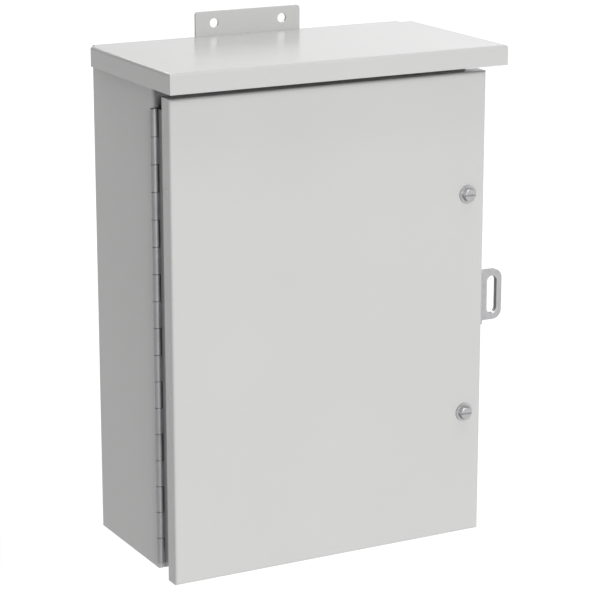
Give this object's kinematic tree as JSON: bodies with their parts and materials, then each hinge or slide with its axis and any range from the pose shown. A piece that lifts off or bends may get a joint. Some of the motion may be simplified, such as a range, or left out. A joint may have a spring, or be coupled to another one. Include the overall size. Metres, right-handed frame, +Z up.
{
  "type": "electrical enclosure",
  "caption": "Wall-mounted rain-proof sheet-steel electrical enclosure with a drip roof, a side-hinged door held by captive screws, a padlock hasp, wall brackets and an inner mounting panel.",
  "frame": {"origin": "middle of the wall bolt pattern, on the wall plane at the brackets' back faces", "axes": "+X to the right seen from the front, +Y from the door towards the wall, +Z up"},
  "size_m": [0.354, 0.1877, 0.4996],
  "materials": {
    "grey_paint": "glossy light grey powder coat",
    "hinge_steel": "dull galvanized steel",
    "zinc_steel": "bright zinc plate",
    "dull_zinc": "dull zinc plate",
    "panel_paint": "satin white powder coat"
  },
  "bodies": {
    "cabinet": {"body_shell": "grey_paint", "rain_collar": "grey_paint", "roof_cap": "grey_paint", "top_wall_bracket": "grey_paint", "bottom_wall_bracket": "grey_paint", "hinge_body_leaf": "hinge_steel", "hinge_pin": "hinge_steel", "body_hasp_tab": "dull_zinc", "upper_screw_post": "zinc_steel", "lower_screw_post": "zinc_steel", "mounting_panel": "panel_paint", "panel_studs": "zinc_steel", "panel_washers": "zinc_steel", "panel_nuts": "zinc_steel", "ground_stud": "zinc_steel", "ground_washer": "zinc_steel", "ground_nut": "zinc_steel"},
    "door": {"door_pan": "grey_paint", "hinge_door_leaf": "hinge_steel", "door_hasp_tab": "dull_zinc", "upper_screw_washer": "dull_zinc", "upper_screw_retainer": "zinc_steel", "lower_screw_washer": "dull_zinc", "lower_screw_retainer": "zinc_steel"},
    "upper_screw": {"upper_cover_screw": "dull_zinc"},
    "lower_screw": {"lower_cover_screw": "dull_zinc"}
  },
  "joints": [
    {"name": "door_hinge", "type": "hinge", "parent": "cabinet", "child": "door", "pos_m": [-0.15805, -0.13625, -0.015], "axis": [0, 0, -1], "range_deg": [0, 170]},
    {"name": "upper_screw_turn", "type": "hinge", "parent": "door", "child": "upper_screw", "pos_m": [0.1395, -0.1667, 0.09175], "axis": [0, -1, 0], "continuous": true},
    {"name": "lower_screw_turn", "type": "hinge", "parent": "door", "child": "lower_screw", "pos_m": [0.1395, -0.1667, -0.11575], "axis": [0, -1, 0], "continuous": true}
  ]
}
